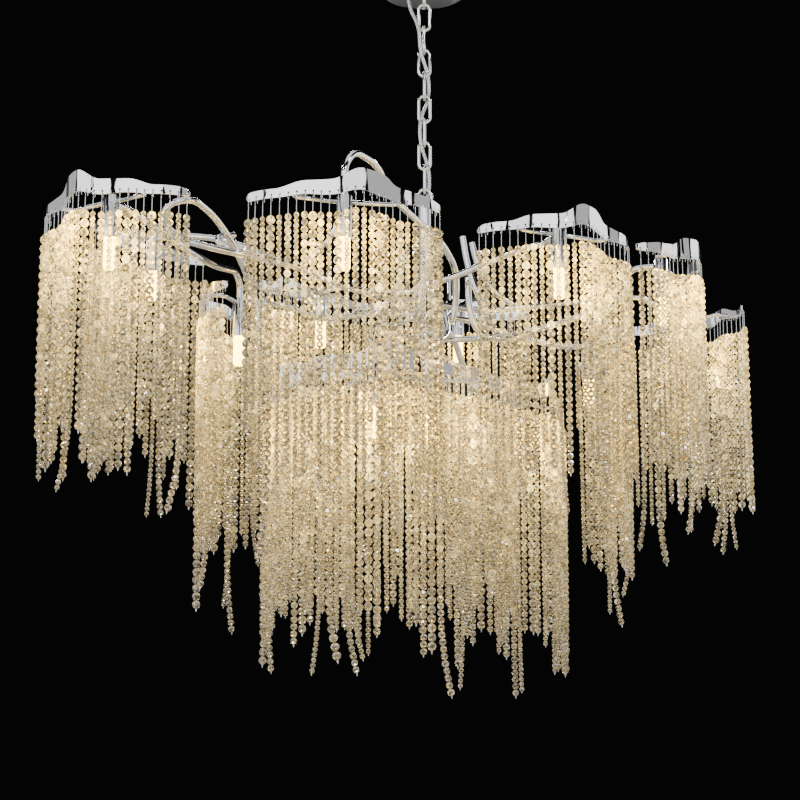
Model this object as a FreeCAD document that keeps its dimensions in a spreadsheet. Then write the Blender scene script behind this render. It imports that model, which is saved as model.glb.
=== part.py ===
import FreeCAD, Part
import math
import os

import Sketcher
from FreeCAD import Placement, Rotation, Vector

# Crystal chandelier: fourteen curved metal leaf plates on a tangle of bent tubes, each plate hung with
# a curtain of crystal strands round one capsule lamp, all carried by a short chain from a ceiling canopy.
# The origin is the middle of the ceiling face, the long way of the oval is X and the lamp hangs down -Z.

doc = FreeCAD.newDocument("crystal_chandelier")
sheet = doc.addObject("Spreadsheet::Sheet", "sizes")

# Driving sizes, in millimetres and degrees
SIZES = {
    "canopy_diameter": 120, "canopy_height": 28, "canopy_wall": 1.2, "canopy_round": 10,
    "bracket_length": 96, "bracket_width": 18, "bracket_thick": 2.5, "bracket_boss_height": 9,
    "bracket_boss_diameter": 16, "ceiling_screw_spacing": 70, "ceiling_screw_hole": 5,
    "link_length": 40, "link_width": 18.5, "link_wire": 4, "link_gap": 0.3, "chain_turn": -39,
    "loop_wire": 4, "loop_inside": 14, "shank_diameter": 9, "collar_diameter": 18, "collar_height": 5,
    "stem_diameter": 16, "stem_wall": 1.5, "stem_length": 180, "plug_length": 12,
    "hub_diameter": 30, "hub_height": 90, "hub_row_step": 16, "hub_floor": 10, "hub_round": 5,
    "socket_depth": 5, "socket_play": 1, "fit_gap": 0.15,
    "arm_diameter": 8, "arm_wall": 0.9, "arm_drop_in": 38, "arm_run_in": 30,
    "strut_diameter": 5, "strut_run_in": 16, "strut_above_edge": 1.5, "strut_from_end": 56.5,
    "plate_length": 245, "plate_thick": 1.5, "plate_margin": 5, "hole_diameter": 2.4, "hole_above_edge": 3.6,
    "lamp_reach": 48, "hook_wire": 0.9, "hook_play": 0.9, "hook_tail": 4, "hook_drop": 18,
    "bead_large": 10, "bead_middle": 8, "bead_small": 6,
    "holder_height": 35, "holder_wall": 1, "boss_height": 14, "insert_height": 20, "lamp_clearance": 1.2,
    "bulb_play": 1, "bulb_diameter": 14, "bulb_length": 50, "bulb_round": 3,
    "pin_diameter": 1, "pin_length": 12, "pin_spacing": 9,
    "cable_diameter": 4.5, "cable_offset": 22, "cable_inside": 12, "cable_straight": 16,
    "cable_aside": 8.6, "cable_room": 1.8, "cable_hole_below": 20, "cable_hole_fall": 12,
}
for row, (name, value) in enumerate(SIZES.items(), start=1):
    sheet.set("A%d" % row, name)
    sheet.set("B%d" % row, str(value))
    sheet.setAlias("B%d" % row, name)
doc.recompute()


def size(name):
    """One driving size, read back from the sheet."""
    return float(sheet.get(name))


# Number of chain links, of strands on each plate and of rows of sockets in the hub
LINKS = 8
STRANDS = 26
HUB_ROWS = 5

# Each head: lamp place, the way its plate looks (0 is -Y, 90 is +X), height of its plate's lower edge,
# total bend of the plate, usual strand length and which way round the wavy plate goes.
# Its arm: the hub's row (0 at the top) and the angle of the socket it starts in, whether it comes into
# the lamp holder from the back or from the top, and the points of its route.
# Heights here are measured from the middle of the hub.
HEADS = {
    "left_end": dict(
        place=(-453, 6), facing=-68, edge=52, bend=150, strand=262, flip=True, row=1, socket=176,
        entry="back",
        route=[(-120, 2, 18), (-210, -14, 24), (-280, -16, 23), (-330, -8, 26), (-376, 6, 34)]),
    "left_front": dict(
        place=(-249, -158), facing=-29, edge=52, bend=110, strand=300, flip=False, row=3, socket=300,
        entry="top", route=[(20, -30, -15), (17, -42, 18), (6, -54, 50), (-28, -66, 76), (-95, -90, 90),
               (-160, -124, 98), (-190, -144, 120), (-233, -156, 124)]),
    "middle_front": dict(
        place=(25, -218), facing=-18, edge=52, bend=150, strand=270, flip=False, row=0, socket=250,
        entry="back", route=[(-12, -40, 33), (-6, -80, 36), (2, -124, 44), (20, -162, 54)]),
    "right_front": dict(
        place=(220, -202), facing=33, edge=52, bend=140, strand=250, flip=True, row=4, socket=320,
        entry="back", route=[(31, -26, -32), (80, -62, -28), (120, -98, -16), (184, -134, 12)]),
    "right_end": dict(
        place=(448, -30), facing=98, edge=52, bend=140, strand=255, flip=False, row=1, socket=350,
        entry="back", route=[(90, -20, 18), (180, -36, 36), (277, -46, 58), (350, -46, 74)]),
    "right_back": dict(
        place=(215, 185), facing=160, edge=74, bend=120, strand=280, flip=True, row=4, socket=15,
        entry="back", route=[(32, 9, -32), (50, 24, -4), (84, 46, 26), (136, 76, 54), (184, 112, 74)]),
    "middle_back": dict(
        place=(0, 222), facing=180, edge=69, bend=110, strand=280, flip=False, row=1, socket=95,
        entry="back", route=[(-6, 60, 24), (20, 110, 44), (10, 152, 68)]),
    "left_back": dict(
        place=(-296, 174), facing=200, edge=77, bend=110, strand=270, flip=True, row=0, socket=130,
        entry="back", route=[(-50, 54, 34), (-110, 66, 44), (-180, 80, 62), (-245, 100, 78)]),
    "left_inner": dict(
        place=(-199, 123), facing=223, edge=-1, bend=130, strand=290, flip=False, row=2, socket=150,
        entry="back", route=[(-60, 30, -4), (-110, 70, -10), (-146, 80, 2)]),
    "right_inner": dict(
        place=(188, -101), facing=55, edge=-39, bend=110, strand=260, flip=True, row=2, socket=345,
        entry="back", route=[(60, -18, -2), (112, -44, -18)]),
    "low_left": dict(
        place=(-150, 36), facing=-100, edge=-118, bend=110, strand=270, flip=True, row=4, socket=170,
        entry="back", route=[(-45, 8, -36), (-82, 16, -81)]),
    "low_front_left": dict(
        place=(-165, -100), facing=-35, edge=-121, bend=110, strand=270, flip=False, row=3, socket=215,
        entry="top", route=[(-50, -32, -22), (-98, -50, -42), (-142, -82, -48)]),
    "low_front": dict(
        place=(-54, -73), facing=-19, edge=-111, bend=110, strand=280, flip=True, row=2, socket=280,
        entry="top", route=[(5, -30, -4), (0, -46, -32), (-24, -60, -48)]),
    "low_right": dict(
        place=(115, -39), facing=15, edge=-108, bend=110, strand=300, flip=False, row=3, socket=0,
        entry="back", route=[(45, 2, -20), (84, 16, -68)]),
}

# Twigs: short tubes. Each grows from the middle of one straight run of an arm (run 0 starts in the hub),
# follows its own points and stays open at its end, or meets the top of a lamp holder where one is named
TWIGS = [
    ("right_inner", 1, [(79, -25, 16), (69, -17, 44), (61, -11, 78), (57, -8, 112)], None),
    ("right_end", 1, [(112, -16, 40), (93, -10, 60), (84, -3, 86), (80, 0, 110)], None),
    ("right_front", 2, [(66, -78, -38), (30, -68, -36), (18, -64, -2), (17, -64, 38)], None),
    ("right_end", 3, [(298, -58, 76), (283, -76, 68)], None),
    ("left_end", 4, [(-392, -8, 40), (-408, -36, 56), (-378, -46, 66), (-335, -22, 61), (-298, -2, 44),
     (-264, 14, 14), (-246, 18, -22), (-240, 18, -48)], None),
    ("left_end", 3, [(-318, 4, 44), (-286, 8, 53)], None),
    ("left_end", 2, [(-252, 6, 36), (-286, 22, 44)], None),
    ("left_end", 5, [(-366, 26, 40), (-318, 46, 32), (-264, 80, 34), (-214, 112, 44),
     (-199, 123, 34)], "left_inner"),
    ("middle_back", 1, [(32, 98, 60), (50, 110, 88), (56, 114, 116)], None),
    ("left_back", 2, [(-138, 52, 66), (-120, 34, 92), (-112, 28, 120)], None),
    ("right_back", 3, [(118, 88, 40), (138, 112, 62), (146, 122, 96)], None),
]

# A plate in plan bends in and out: share of its length, share of its total bend
PLAN_WAVES = [(0.20, 0.42), (0.16, -0.18), (0.28, 0.54), (0.16, -0.18), (0.20, 0.40)]
# and its edges wave: share of its width, lower edge and upper edge above the level of the plate's ends
EDGE_WAVES = [(0.00, 0.0, 10.0), (0.12, 0.3, 10.5), (0.28, 4.0, 19.5), (0.40, 1.0, 18.5), (0.56, 8.0, 33.0),
              (0.66, 4.5, 31.0), (0.77, 0.3, 17.5), (0.88, 0.6, 14.0), (1.00, 0.0, 10.0)]
# Steps used to measure a plate's middle line, and stations along each edge of its outline
PLAN_STEPS = 60
EDGE_STEPS = 24
# Share of the shorter run beside a corner that the corner's arc takes up
ARC_SHARE = 0.45
# Strand lengths: pointed tufts of this many strands, two slower ripples and a longer straggler now and then
TUFT_STRANDS = 6.5
TUFT_DEPTH = 0.10
RIPPLES = [(0.07, 3.7), (0.05, 14.0)]
STRAGGLER_EVERY = 11
STRAGGLER_EXTRA = 0.14
# Bead sizes along a curtain, strand after strand
BEAD_ROW = ["bead_small", "bead_middle", "bead_large", "bead_middle",
            "bead_small", "bead_large", "bead_small", "bead_middle"]


def bind(target, **expressions):
    """Ties properties of an object to cells of the sheet."""
    for prop, expression in expressions.items():
        target.setExpression(prop.replace("__", "."), expression)


def primitive(kind, name, **expressions):
    """A Part primitive whose sizes follow the sheet."""
    item = doc.addObject("Part::" + kind, name)
    bind(item, **expressions)
    return item


def feature(label, shape):
    """A sub-part whose shape is worked out in this file."""
    item = doc.addObject("Part::Feature", label)
    item.Label = label
    item.Shape = shape
    return item


def plane_of(body, role):
    """One of a body's own origin planes."""
    return next(part for part in body.Origin.OriginFeatures if part.Role == role)


def sketch_on(body, name, role):
    """A sketch lying on one of its body's origin planes."""
    sketch = body.newObject("Sketcher::SketchObject", name)
    sketch.AttachmentSupport = [(plane_of(body, role), "")]
    sketch.MapMode = "FlatFace"
    return sketch


def add_lines(sketch, points):
    """A closed run of straight edges through the points, each corner tied to the next edge."""
    first = sketch.GeometryCount
    count = len(points)
    for index, point in enumerate(points):
        ahead = points[(index + 1) % count]
        sketch.addGeometry(Part.LineSegment(Vector(*point, 0), Vector(*ahead, 0)), False)
    for index in range(count):
        follower = first + (index + 1) % count
        sketch.addConstraint(Sketcher.Constraint("Coincident", first + index, 2, follower, 1))
    return first


# Sizes that follow from others: the lamp holder fits over its bulb, the hook's bend over the plate
holder_bore = size("bulb_diameter") / 2 + size("bulb_play")
holder_radius = holder_bore + size("holder_wall")
hook_bend = (size("plate_thick") + size("hook_wire")) / 2 + size("hook_play")

# Levels down the chain: the canopy loop, the links, and the loop on top of the stem
link_reach = size("link_length") / 2
link_pitch = size("link_length") - 2 * size("link_wire") - size("link_gap")
loop_radius = (size("loop_inside") + size("loop_wire")) / 2
collar_low = -size("canopy_height") - size("collar_height")
loop_level = collar_low - loop_radius + size("loop_wire") / 2
loop_seat = loop_level - loop_radius
first_link_level = loop_seat + size("loop_wire") / 2 + size("link_gap") + size("link_wire") - link_reach
last_link_level = first_link_level - (LINKS - 1) * link_pitch
stem_loop_seat = last_link_level - link_reach + size("link_wire") + size("link_gap") + size("loop_wire") / 2
stem_loop_level = stem_loop_seat - loop_radius
stem_collar_top = stem_loop_level - loop_radius + size("loop_wire") / 2
stem_top = stem_collar_top - size("collar_height")
stem_bottom = stem_top - size("stem_length")
hub_level = stem_bottom - size("hub_floor") + size("hub_height") / 2


def chain_axis(quarter):
    """Direction in the ceiling plane of the chain's own X axis, turned by quarter turns."""
    turn = math.radians(size("chain_turn") + 90 * quarter)
    return Vector(math.cos(turn), math.sin(turn), 0)


def round_edges(shape, level):
    """The full circles of a shape that lie at a level."""
    near = 0.01
    circles = [edge for edge in shape.Edges if len(edge.Vertexes) == 1]
    return [edge for edge in circles if abs(edge.CenterOfMass.z - level) < near]


# Canopy: a spun cup with a rounded lower edge, held up against the ceiling by the loop's collar
def make_canopy():
    radius = size("canopy_diameter") / 2
    deep = size("canopy_height")
    wall = size("canopy_wall")
    rounding = size("canopy_round")
    hole = size("shank_diameter") / 2 + size("fit_gap")
    outer = Part.makeCylinder(radius, deep, Vector(0, 0, -deep))
    outer = outer.makeFillet(rounding, round_edges(outer, -deep))
    inner = Part.makeCylinder(radius - wall, deep, Vector(0, 0, -deep + wall))
    inner = inner.makeFillet(rounding - wall, round_edges(inner, -deep + wall))
    cup = outer.cut(inner)
    cup = cup.cut(Part.makeCylinder(hole, 3 * wall, Vector(0, 0, -deep - wall)))
    way = chain_axis(2) * size("cable_offset")
    cable_hole = size("cable_diameter") / 2 + size("fit_gap")
    cup = cup.cut(Part.makeCylinder(cable_hole, 3 * wall, Vector(way.x, way.y, -deep - wall)))
    return feature("canopy", cup)


# Ceiling bracket: a flat strap with a threaded boss in the middle and two screw holes
def make_bracket():
    body = doc.addObject("PartDesign::Body", "ceiling_bracket")
    body.Label = "ceiling_bracket"
    half_long = size("bracket_length") / 2
    half_wide = size("bracket_width") / 2
    outline = sketch_on(body, "bracket_outline", "XY_Plane")
    add_lines(outline, [(-half_long, -half_wide), (half_long, -half_wide), (half_long, half_wide),
                        (-half_long, half_wide)])
    doc.recompute()
    strap = body.newObject("PartDesign::Pad", "bracket_strap")
    strap.Profile = outline
    strap.Reversed = True
    bind(strap, Length="sizes.bracket_thick")
    boss_circle = sketch_on(body, "boss_circle", "XY_Plane")
    up = Vector(0, 0, 1)
    boss_circle.addGeometry(Part.Circle(Vector(), up, size("bracket_boss_diameter") / 2), False)
    boss = body.newObject("PartDesign::Pad", "bracket_boss")
    boss.Profile = boss_circle
    boss.Reversed = True
    bind(boss, Length="sizes.bracket_thick + sizes.bracket_boss_height")
    holes = sketch_on(body, "bracket_holes", "XY_Plane")
    holes.addGeometry(Part.Circle(Vector(), up, size("shank_diameter") / 2 + size("fit_gap")), False)
    for side in (-1, 1):
        middle = Vector(side * size("ceiling_screw_spacing") / 2, 0, 0)
        holes.addGeometry(Part.Circle(middle, up, size("ceiling_screw_hole") / 2), False)
    doc.recompute()
    pocket = body.newObject("PartDesign::Pocket", "bracket_bores")
    pocket.Profile = holes
    pocket.Type = 1
    pocket.Midplane = True
    body.Tip = pocket
    return body


def ring_with_shank(label, level, quarter, shank_low, shank_high, collar_at):
    """A threaded eye: a closed wire ring across the chain link that it holds, a collar and a shank."""
    ring = primitive("Torus", label + "_ring")
    bind(ring, Radius1="(sizes.loop_inside + sizes.loop_wire) / 2", Radius2="sizes.loop_wire / 2")
    ring.Placement = Placement(Vector(0, 0, level), Rotation(Vector(0, 0, 1), chain_axis(quarter)))
    collar = primitive("Cylinder", label + "_collar", Radius="sizes.collar_diameter / 2",
                       Height="sizes.collar_height")
    collar.Placement = Placement(Vector(0, 0, collar_at), Rotation())
    shank = primitive("Cylinder", label + "_shank", Radius="sizes.shank_diameter / 2")
    shank.Height = shank_high - shank_low
    shank.Placement = Placement(Vector(0, 0, shank_low), Rotation())
    whole = doc.addObject("Part::MultiFuse", label)
    whole.Label = label
    whole.Shapes = [ring, collar, shank]
    return whole


def make_link(index):
    """One welded oval link: two half rings joined by two straight sides."""
    level = first_link_level - index * link_pitch
    turn = Rotation(Vector(0, 0, 1), size("chain_turn") + 90 * (index % 2))
    name = "chain_link_%d" % (index + 1)
    parts = []
    for side in (-1, 1):
        bend = primitive("Torus", "%s_bend%d" % (name, side),
                         Radius1="(sizes.link_width - sizes.link_wire) / 2", Radius2="sizes.link_wire / 2")
        bend.Angle3 = 180
        rise = side * (size("link_length") - size("link_width")) / 2
        stand = Rotation(Vector(1, 0, 0), 90 * side)
        bend.Placement = Placement(Vector(0, 0, level + rise), turn.multiply(stand))
        straight = primitive("Cylinder", "%s_side%d" % (name, side), Radius="sizes.link_wire / 2",
                             Height="sizes.link_length - sizes.link_width")
        out = turn.multVec(Vector(side * (size("link_width") - size("link_wire")) / 2, 0, 0))
        low = level - (size("link_length") - size("link_width")) / 2
        straight.Placement = Placement(Vector(out.x, out.y, low), Rotation())
        parts += [bend, straight]
    link = doc.addObject("Part::MultiFuse", name)
    link.Label = name
    link.Shapes = parts
    return link


# Stem: the centre tube, with a slanting hole behind for the cable
def make_stem():
    outer = primitive("Cylinder", "stem_outside", Radius="sizes.stem_diameter / 2",
                      Height="sizes.stem_length")
    bore = primitive("Cylinder", "stem_bore", Radius="sizes.stem_diameter / 2 - sizes.stem_wall",
                     Height="sizes.stem_length")
    for pipe in (outer, bore):
        pipe.Placement = Placement(Vector(0, 0, stem_bottom), Rotation())
    outside, inside = cable_entry()
    hole = primitive("Cylinder", "stem_cable_hole", Radius="sizes.cable_diameter / 2 + sizes.fit_gap")
    hole.Height = (inside - outside).Length
    hole.Placement = Placement(outside, Rotation(Vector(0, 0, 1), inside - outside))
    cuts = doc.addObject("Part::MultiFuse", "stem_cuts")
    cuts.Shapes = [bore, hole]
    stem = doc.addObject("Part::Cut", "stem")
    stem.Label = "stem"
    stem.Base = outer
    stem.Tool = cuts
    return stem


def arm_socket(head, depth):
    """Point and outward direction of an arm's socket, depth millimetres inside the hub's wall."""
    angle = math.radians(head["socket"])
    out = Vector(math.cos(angle), math.sin(angle), 0)
    level = hub_level + ((HUB_ROWS - 1) / 2 - head["row"]) * size("hub_row_step")
    return out * (size("hub_diameter") / 2 - depth) + Vector(0, 0, level), out


# Hub: a turned body that closes the stem's lower end, with a socket for every arm
def make_hub():
    radius = size("hub_diameter") / 2
    half = size("hub_height") / 2
    bore = size("stem_diameter") / 2 + size("fit_gap")
    body = Part.makeCylinder(radius, 2 * half, Vector(0, 0, hub_level - half))
    rims = round_edges(body, hub_level - half) + round_edges(body, hub_level + half)
    body = body.makeFillet(size("hub_round"), rims)
    body = body.cut(Part.makeCylinder(bore, size("stem_length"), Vector(0, 0, stem_bottom)))
    for head in HEADS.values():
        start, out = arm_socket(head, size("socket_depth"))
        body = body.cut(Part.makeCylinder(size("arm_diameter") / 2 + size("fit_gap"), radius, start, out))
    return feature("hub", body)


def smooth_path(points):
    """Straight runs joined by tangent arcs, each as large as the shorter of its two runs allows."""
    edges = []
    at = points[0]
    for before, corner, after in zip(points, points[1:], points[2:]):
        way_in = (corner - before).normalize()
        way_out = (after - corner).normalize()
        half_turn = math.acos(max(-1, min(1, way_in.dot(way_out)))) / 2
        trim = ARC_SHARE * min((corner - before).Length, (after - corner).Length)
        start = corner - way_in * trim
        end = corner + way_out * trim
        radius = trim / math.tan(half_turn)
        inward = (way_out - way_in).normalize()
        middle = corner + inward * (radius / math.cos(half_turn) - radius)
        edges.append(Part.LineSegment(at, start).toShape())
        edges.append(Part.Arc(start, middle, end).toShape())
        at = end
    edges.append(Part.LineSegment(at, points[-1]).toShape())
    return Part.Wire(edges)


def rod(path, diameter):
    """A solid round bar along a path."""
    edge = path.Edges[0]
    start = edge.valueAt(edge.FirstParameter)
    way = edge.tangentAt(edge.FirstParameter)
    ring = Part.Wire([Part.Circle(start, way, diameter / 2).toShape()])
    return path.makePipeShell([ring], True, False)


def tube(points, diameter, wall):
    """A hollow tube with open ends along a smooth path through the points."""
    path = smooth_path(points)
    return rod(path, diameter).cut(rod(path, diameter - 2 * wall))


def head_axes(head):
    """Lamp place of a head at its plate's lower edge, and the head's sideways and outward directions."""
    turn = math.radians(head["facing"])
    side = Vector(math.cos(turn), math.sin(turn), 0)
    out = Vector(math.sin(turn), -math.cos(turn), 0)
    return Vector(head["place"][0], head["place"][1], hub_level + head["edge"]), side, out


def plan_arcs(head):
    """The plate's middle line in plan as tangent arcs: start, heading, length and bend of each.
    It runs from the head's left to its right, in the head's own side and out directions."""
    waves = PLAN_WAVES[::-1] if head["flip"] else PLAN_WAVES
    heading = math.radians(head["bend"]) / 2
    x = 0.0
    y = 0.0
    arcs = []
    for length_share, bend_share in waves:
        length = length_share * size("plate_length")
        bend = -bend_share * math.radians(head["bend"])
        arcs.append([x, y, heading, length, bend])
        rate = bend / length
        x += (math.sin(heading + bend) - math.sin(heading)) / rate
        y -= (math.cos(heading + bend) - math.cos(heading)) / rate
        heading += bend
    return arcs, x


def plan_point(head, along):
    """A point of the plate's middle line at a length along it: sideways, outward, and the heading there."""
    arcs, chord = plan_arcs(head)
    left = along
    for index, (x, y, heading, length, bend) in enumerate(arcs):
        if left <= length or index == len(arcs) - 1:
            break
        left -= length
    rate = bend / length
    now = heading + rate * left
    across = x + (math.sin(now) - math.sin(heading)) / rate - chord / 2
    outward = y - (math.cos(now) - math.cos(heading)) / rate
    return across, outward, now


def plan_marks():
    """Lengths along a plate's middle line at which it is measured."""
    return [size("plate_length") * step / PLAN_STEPS for step in range(PLAN_STEPS + 1)]


def plan_shift(head):
    """How far the middle line moves outward so that its furthest point is the lamp's reach away."""
    return size("lamp_reach") - max(plan_point(head, along)[1] for along in plan_marks())


def plate_frame(head, along, shift):
    """Place on the plate's middle line and its outward normal, in the chandelier's own axes."""
    origin, side, out = head_axes(head)
    across, outward, now = plan_point(head, along)
    point = origin + side * across + out * (outward + shift)
    normal = out * math.cos(now) - side * math.sin(now)
    return point, normal, across


def plate_width(head):
    """Furthest left and right of a plate, sideways from its lamp."""
    shift = plan_shift(head)
    half = size("plate_thick") / 2
    across = [plate_frame(head, along, shift)[2] for along in plan_marks()]
    return min(across) - half, max(across) + half


def edge_height(head, share, column):
    """Height of the lower (1) or upper (2) edge of a plate above its ends, at a share of its width."""
    share = 1 - share if head["flip"] else share
    share = max(0.0, min(1.0, share))
    for low, high in zip(EDGE_WAVES, EDGE_WAVES[1:]):
        if share <= high[0]:
            blend = (share - low[0]) / (high[0] - low[0])
            blend = (1 - math.cos(math.pi * blend)) / 2
            return low[column] + (high[column] - low[column]) * blend
    return EDGE_WAVES[-1][column]


def make_plate(name, head, holes):
    """A leaf plate: a thin strip bent in plan, cut to its wavy outline and drilled along its lower edge."""
    origin, side, out = head_axes(head)
    half = size("plate_thick") / 2
    arcs, chord = plan_arcs(head)
    shift = plan_shift(head)
    sides = []
    for offset in (-half, half):
        run = []
        at = 0.0
        for x, y, heading, length, bend in arcs:
            marks = []
            for share in (0, 0.5, 1):
                point, normal, across = plate_frame(head, at + share * length, shift)
                marks.append(point + normal * offset)
            run.append(Part.Arc(*marks).toShape())
            at += length
        sides.append(run)
    ends = [Part.LineSegment(sides[0][0].valueAt(sides[0][0].FirstParameter),
                             sides[1][0].valueAt(sides[1][0].FirstParameter)).toShape(),
            Part.LineSegment(sides[0][-1].valueAt(sides[0][-1].LastParameter),
                             sides[1][-1].valueAt(sides[1][-1].LastParameter)).toShape()]
    ribbon = Part.Face(Part.Wire(Part.__sortEdges__(sides[0] + sides[1] + ends)))
    tallest = max(wave[2] for wave in EDGE_WAVES)
    strip = ribbon.extrude(Vector(0, 0, tallest))
    least, most = plate_width(head)
    rounding = min(edge_height(head, 0, 2), edge_height(head, 1, 2)) / 2
    back = 2 * size("plate_length")
    base = origin - out * back

    def spot(share, height):
        return base + side * (least + (most - least) * share) + Vector(0, 0, height)

    inset = rounding / (most - least)
    stations = [inset + (1 - 2 * inset) * step / EDGE_STEPS for step in range(EDGE_STEPS + 1)]
    lower = Part.BSplineCurve()
    lower.interpolate([spot(share, edge_height(head, share, 1)) for share in stations])
    upper = Part.BSplineCurve()
    upper.interpolate([spot(share, edge_height(head, share, 2)) for share in stations])
    left = Part.Arc(spot(inset, edge_height(head, inset, 1)), spot(0, rounding),
                    spot(inset, edge_height(head, inset, 2)))
    right = Part.Arc(spot(1 - inset, edge_height(head, 1 - inset, 1)), spot(1, rounding),
                     spot(1 - inset, edge_height(head, 1 - inset, 2)))
    outline = Part.Wire([lower.toShape(), right.toShape(), upper.toShape(), left.toShape()])
    prism = Part.Face(outline).extrude(out * 2 * back)
    plate = strip.common(prism)
    plate = plate.cut(Part.Compound(holes))
    return feature("plate_" + name, plate.Solids[0])


def lower_edge(head, across):
    """Level of the plate's lower edge at a sideways place."""
    least, most = plate_width(head)
    return hub_level + head["edge"] + edge_height(head, (across - least) / (most - least), 1)


def make_hook():
    """One wire hook at the origin: its bend hangs in a hole and its long leg reaches down to the beads."""
    front = Vector(0, -hook_bend, 0)
    back = Vector(0, hook_bend, 0)
    foot = front - Vector(0, 0, size("hole_above_edge") + size("hook_drop"))
    path = Part.Wire([Part.LineSegment(foot, front).toShape(),
                      Part.Arc(front, Vector(0, 0, hook_bend), back).toShape(),
                      Part.LineSegment(back, back - Vector(0, 0, size("hook_tail"))).toShape()])
    return rod(path, size("hook_wire"))


def strand_length(head, index, bead):
    """Length of one strand: a whole number of beads, longest in the middle of each pointed tuft."""
    seed = sum(ord(letter) for letter in head["name"])
    tuft = index + seed
    share = 1 + TUFT_DEPTH * math.cos(2 * math.pi * tuft / TUFT_STRANDS)
    for depth, strands in RIPPLES:
        share += depth * math.sin(2 * math.pi * tuft / strands)
    if tuft % STRAGGLER_EVERY == 0:
        share += STRAGGLER_EXTRA
    return round(head["strand"] * share / bead) * bead


def make_curtain(name, head):
    """The holes, hooks and strands of one head. Each strand is one plain round column of its beads."""
    shift = plan_shift(head)
    hook = make_hook()
    step = (size("plate_length") - 2 * size("plate_margin")) / (STRANDS - 1)
    half = size("plate_thick") / 2
    # the bend's crown rests on the hole's floor, so the hook's own origin lies below the hole's middle
    hang = size("hole_diameter") / 2 - size("fit_gap") - size("hook_wire") / 2
    holes, hooks, strands = [], [], []
    for index in range(STRANDS):
        along = size("plate_margin") + index * step
        point, normal, across = plate_frame(head, along, shift)
        level = lower_edge(head, across) + size("hole_above_edge")
        centre = Vector(point.x, point.y, level)
        back = centre - normal * 2 * half
        holes.append(Part.makeCylinder(size("hole_diameter") / 2, 4 * half, back, normal))
        turn = math.degrees(math.atan2(normal.x, -normal.y))
        saddle = centre - Vector(0, 0, hook_bend + hang)
        placed = hook.copy()
        placed.Placement = Placement(saddle, Rotation(Vector(0, 0, 1), turn))
        hooks.append(placed)
        bead = size(BEAD_ROW[(index + len(name)) % len(BEAD_ROW)])
        top = saddle + normal * hook_bend - Vector(0, 0, size("hole_above_edge") + size("hook_drop"))
        strands.append(Part.makeCylinder(bead / 2, strand_length(head, index, bead), top, Vector(0, 0, -1)))
    return holes, hooks, strands


# Lamp holder: a solid top boss where the arm and the plate's struts meet, a thin sleeve, and the
# white insert inside it that grips the bulb's pins
def make_holder(head):
    origin, side, out = head_axes(head)
    down = Vector(0, 0, -1)
    boss = Part.makeCylinder(holder_radius, size("boss_height"), origin)
    sleeve = Part.makeCylinder(holder_radius, size("holder_height"), origin, down)
    bore = Part.makeCylinder(holder_bore, size("holder_height"), origin, down)
    shell = boss.fuse(sleeve.cut(bore)).removeSplitter()
    insert = Part.makeCylinder(holder_bore - size("fit_gap"), size("insert_height"), origin, down)
    pin_hole = size("pin_diameter") / 2 + size("fit_gap")
    for sign in (-1, 1):
        place = origin + side * (sign * size("pin_spacing") / 2)
        insert = insert.cut(Part.makeCylinder(pin_hole, size("insert_height"), place, down))
    return shell, insert


# Bulb: a capsule lamp with a rounded tip and two wire pins that push up into the insert
def make_bulb(name, head):
    origin, side, out = head_axes(head)
    radius = size("bulb_diameter") / 2
    seat = origin - Vector(0, 0, size("insert_height") + size("lamp_clearance"))
    glass = Part.makeCylinder(radius, size("bulb_length"), seat, Vector(0, 0, -1))
    glass = glass.makeFillet(size("bulb_round"), round_edges(glass, seat.z - size("bulb_length")))
    for sign in (-1, 1):
        foot = seat + side * (sign * size("pin_spacing") / 2) - Vector(0, 0, size("pin_diameter"))
        pin = Part.makeCylinder(size("pin_diameter") / 2, size("pin_length") + size("pin_diameter"), foot)
        glass = glass.fuse(pin)
    return feature("bulb_" + name, glass)


def route_points(route):
    """Points of a route, whose heights count from the middle of the hub."""
    return [Vector(x, y, z + hub_level) for x, y, z in route]


def boss_top(head):
    """Where a tube stands on top of a lamp holder."""
    return head_axes(head)[0] + Vector(0, 0, size("boss_height") + size("fit_gap"))


def arm_points(head):
    """Route of a main arm from its socket in the hub to its lamp holder's boss."""
    start, radial = arm_socket(head, size("socket_depth") - size("socket_play"))
    origin, side, out = head_axes(head)
    route = route_points(head["route"])
    route[0] = start + radial * (route[0] - start).dot(radial)
    if head["entry"] == "top":
        end = boss_top(head)
        near = end + Vector(0, 0, size("arm_drop_in"))
    else:
        end = origin - out * (holder_radius + size("fit_gap")) + Vector(0, 0, size("boss_height") / 2)
        near = end - out * size("arm_run_in")
    return [start] + route + [near, end]


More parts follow.
